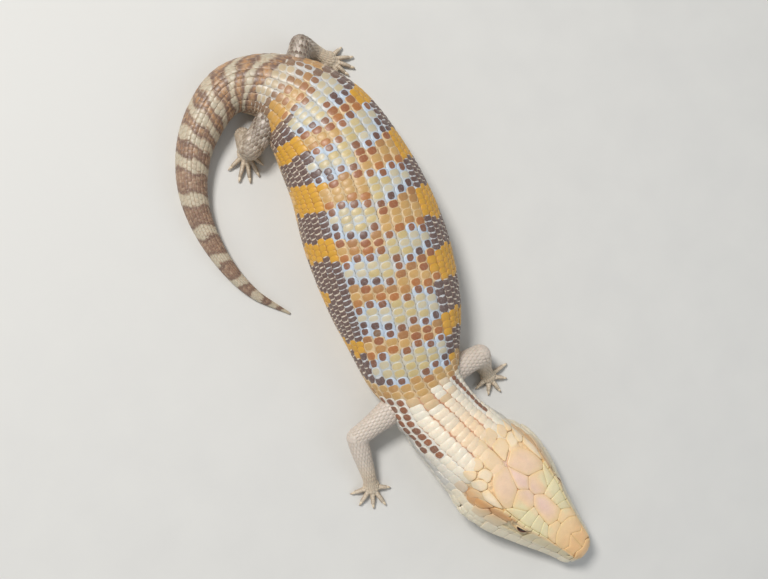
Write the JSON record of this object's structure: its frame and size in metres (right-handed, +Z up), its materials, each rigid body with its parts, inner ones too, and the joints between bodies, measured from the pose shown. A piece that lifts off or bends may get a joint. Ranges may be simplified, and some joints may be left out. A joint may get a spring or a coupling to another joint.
{
  "type": "blue tongued skink",
  "caption": "Still, life-size model of a young northern blue-tongued skink lying on its belly, tail curled forward, banded in orange, brown and cream.",
  "frame": {"origin": "on the floor, on the flat of the belly under the middle of the trunk", "axes": "+Z up from the floor, the head points to -Y and the trunk lies along Y, +X is the animal's left, and the tail curls forward on the -X side"},
  "size_m": [0.0793, 0.1946, 0.0281],
  "materials": {
    "skin_head": "smooth satin head shields, cream to pale orange, pinkish on the crown, whitish along the lips",
    "skin_neck": "satin scales, cream white with thin reddish-brown lines along the neck",
    "skin_trunk": "satin overlapping scales, orange and dark brown bars on the flanks, cream, tan and brown across the back",
    "skin_tail": "satin scales in cream and mottled brown rings",
    "skin_legs": "satin small scales, pale grey cream, the hind legs mottled with brown",
    "claw": "pale horn, glossy",
    "eye": "wet, dark reddish brown"
  },
  "bodies": {
    "root": {"head": "skin_head", "eye_right": "eye", "eye_left": "eye", "neck": "skin_neck", "torso_front": "skin_trunk", "torso_rear": "skin_trunk", "tail_base": "skin_tail", "tail_middle": "skin_tail", "tail_end": "skin_tail", "foreleg_right_upper": "skin_legs", "foreleg_right_lower": "skin_legs", "foreleg_right_foot": "skin_legs", "foreleg_left_upper": "skin_legs", "foreleg_left_lower": "skin_legs", "foreleg_left_foot": "skin_legs", "hindleg_right_upper": "skin_legs", "hindleg_right_lower": "skin_legs", "hindleg_right_foot": "skin_legs", "hindleg_left_upper": "skin_legs", "hindleg_left_lower": "skin_legs", "hindleg_left_foot": "skin_legs"}
  },
  "joints": []
}
